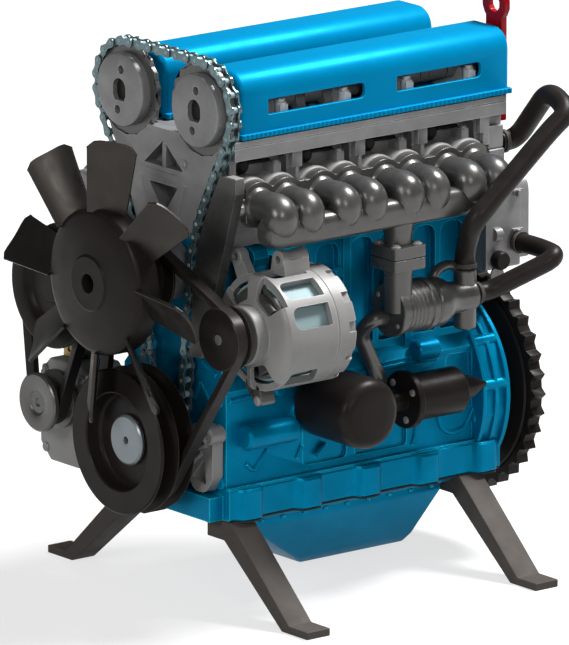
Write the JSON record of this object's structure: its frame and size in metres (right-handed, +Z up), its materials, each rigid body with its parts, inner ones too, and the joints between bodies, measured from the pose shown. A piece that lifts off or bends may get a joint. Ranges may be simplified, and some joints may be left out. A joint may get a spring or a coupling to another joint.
{
  "type": "four stroke engine model",
  "caption": "Small display model of a twin-cam inline engine on splayed legs, with fan, belts, timing chain, alternator, manifolds and working crank train.",
  "frame": {"origin": "on the floor, under the middle of the box round the whole model", "axes": "+Z up, -Y towards the fan end, +X towards the exhaust manifold and alternator"},
  "size_m": [0.115, 0.1345, 0.1599],
  "materials": {
    "block_paint": "dark blue satin paint on cast metal",
    "cover_paint": "bright blue metallic paint",
    "grey_casting": "grey cast alloy",
    "dark_casting": "dark grey polished casting",
    "bright_alloy": "bright cast alloy",
    "black_coat": "black coated metal",
    "black_rubber": "black rubber",
    "chain_steel": "grey steel links with bright pins",
    "machined_steel": "machined steel",
    "leg_steel": "grey coated steel strip",
    "red_enamel": "red enamel",
    "brass": "dull brass"
  },
  "bodies": {
    "frame": {"block": "block_paint", "bearing_ladder": "grey_casting", "leg_front_right": "leg_steel", "leg_front_left": "leg_steel", "leg_rear_right": "leg_steel", "leg_rear_left": "leg_steel", "sump": "block_paint", "timing_chain": "chain_steel", "chain_guide": "grey_casting", "chain_tensioner": "grey_casting", "cylinder_head": "grey_casting", "exhaust_cam_cover": "cover_paint", "intake_cam_cover": "cover_paint", "water_pump_housing": "grey_casting", "alternator_body": "bright_alloy", "fan_belt": "black_rubber", "side_pump": "bright_alloy", "side_drive": "bright_alloy", "drive_valve": "brass", "side_belt": "black_rubber", "intake_manifold": "grey_casting", "exhaust_manifold": "dark_casting", "gas_cooler": "dark_casting", "elbow_pipe": "dark_casting", "upper_hose": "black_rubber", "lower_hose": "black_rubber", "oil_filter": "black_coat", "starter_motor": "black_coat", "rear_housing": "grey_casting", "drain_tap": "black_coat", "lifting_eye": "red_enamel", "oil_pump_cover": "bright_alloy"},
    "crank": {"crankshaft": "machined_steel", "crank_sprocket": "grey_casting", "crank_pulley": "black_coat", "crank_cap": "dark_casting", "flywheel": "black_coat", "ring_gear": "dark_casting"},
    "exhaust_cam": {"exhaust_camshaft": "black_coat", "exhaust_cam_sprocket": "grey_casting"},
    "intake_cam": {"intake_camshaft": "black_coat", "intake_cam_sprocket": "grey_casting"},
    "fan_assembly": {"fan": "black_coat", "fan_pulley": "black_coat"},
    "rotor": {"alternator_rotor": "dark_casting", "alternator_pulley": "black_coat"},
    "large_wheel": {"large_pulley": "black_coat"},
    "small_wheel": {"small_pulley": "black_coat"},
    "rod_1": {"connecting_rod_1": "machined_steel"},
    "rod_2": {"connecting_rod_2": "machined_steel"},
    "rod_3": {"connecting_rod_3": "machined_steel"},
    "rod_4": {"connecting_rod_4": "machined_steel"},
    "piston_body_1": {"piston_1": "bright_alloy"},
    "piston_body_2": {"piston_2": "bright_alloy"},
    "piston_body_3": {"piston_3": "bright_alloy"},
    "piston_body_4": {"piston_4": "bright_alloy"}
  },
  "joints": [
    {"name": "crank_spin", "type": "hinge", "parent": "frame", "child": "crank", "pos_m": [0, 0, 0.0465], "axis": [0, 1, 0], "continuous": true},
    {"name": "exhaust_cam_spin", "type": "hinge", "parent": "frame", "child": "exhaust_cam", "pos_m": [0.0164, 0, 0.1392], "axis": [0, 1, 0], "continuous": true},
    {"name": "intake_cam_spin", "type": "hinge", "parent": "frame", "child": "intake_cam", "pos_m": [-0.0164, 0, 0.1392], "axis": [0, 1, 0], "continuous": true},
    {"name": "fan_spin", "type": "hinge", "parent": "frame", "child": "fan_assembly", "pos_m": [0, -0.055, 0.0921], "axis": [0, 1, 0], "continuous": true},
    {"name": "alternator_spin", "type": "hinge", "parent": "frame", "child": "rotor", "pos_m": [0.037, -0.03, 0.0813], "axis": [0, 1, 0], "continuous": true},
    {"name": "large_pulley_spin", "type": "hinge", "parent": "frame", "child": "large_wheel", "pos_m": [-0.0309, -0.053, 0.0835], "axis": [0, 1, 0], "continuous": true},
    {"name": "small_pulley_spin", "type": "hinge", "parent": "frame", "child": "small_wheel", "pos_m": [-0.0358, -0.053, 0.0503], "axis": [0, 1, 0], "continuous": true},
    {"name": "rod_1_turn", "type": "hinge", "parent": "crank", "child": "rod_1", "pos_m": [0, -0.02685, 0.0515], "axis": [0, 1, 0], "continuous": true},
    {"name": "rod_2_turn", "type": "hinge", "parent": "crank", "child": "rod_2", "pos_m": [0, -0.00515, 0.0415], "axis": [0, 1, 0], "continuous": true},
    {"name": "rod_3_turn", "type": "hinge", "parent": "crank", "child": "rod_3", "pos_m": [0, 0.01655, 0.0415], "axis": [0, 1, 0], "continuous": true},
    {"name": "rod_4_turn", "type": "hinge", "parent": "crank", "child": "rod_4", "pos_m": [0, 0.03825, 0.0515], "axis": [0, 1, 0], "continuous": true},
    {"name": "piston_1_slide", "type": "slide", "parent": "frame", "child": "piston_body_1", "axis": [0, 0, 1], "range_m": [-0.01, 0]},
    {"name": "piston_2_slide", "type": "slide", "parent": "frame", "child": "piston_body_2", "axis": [0, 0, 1], "range_m": [0, 0.01]},
    {"name": "piston_3_slide", "type": "slide", "parent": "frame", "child": "piston_body_3", "axis": [0, 0, 1], "range_m": [0, 0.01]},
    {"name": "piston_4_slide", "type": "slide", "parent": "frame", "child": "piston_body_4", "axis": [0, 0, 1], "range_m": [-0.01, 0]}
  ],
  "couplings": [
    {"joint": "exhaust_cam_spin", "follows": "crank_spin", "ratio": 0.5},
    {"joint": "intake_cam_spin", "follows": "crank_spin", "ratio": 0.5},
    {"joint": "fan_spin", "follows": "crank_spin", "ratio": 1.5789},
    {"joint": "alternator_spin", "follows": "crank_spin", "ratio": 2.4324},
    {"joint": "small_pulley_spin", "follows": "crank_spin", "ratio": 1},
    {"joint": "large_pulley_spin", "follows": "crank_spin", "ratio": 0.4267},
    {"joint": "rod_1_turn", "follows": "crank_spin", "ratio": -1},
    {"joint": "rod_2_turn", "follows": "crank_spin", "ratio": -1},
    {"joint": "rod_3_turn", "follows": "crank_spin", "ratio": -1},
    {"joint": "rod_4_turn", "follows": "crank_spin", "ratio": -1}
  ]
}
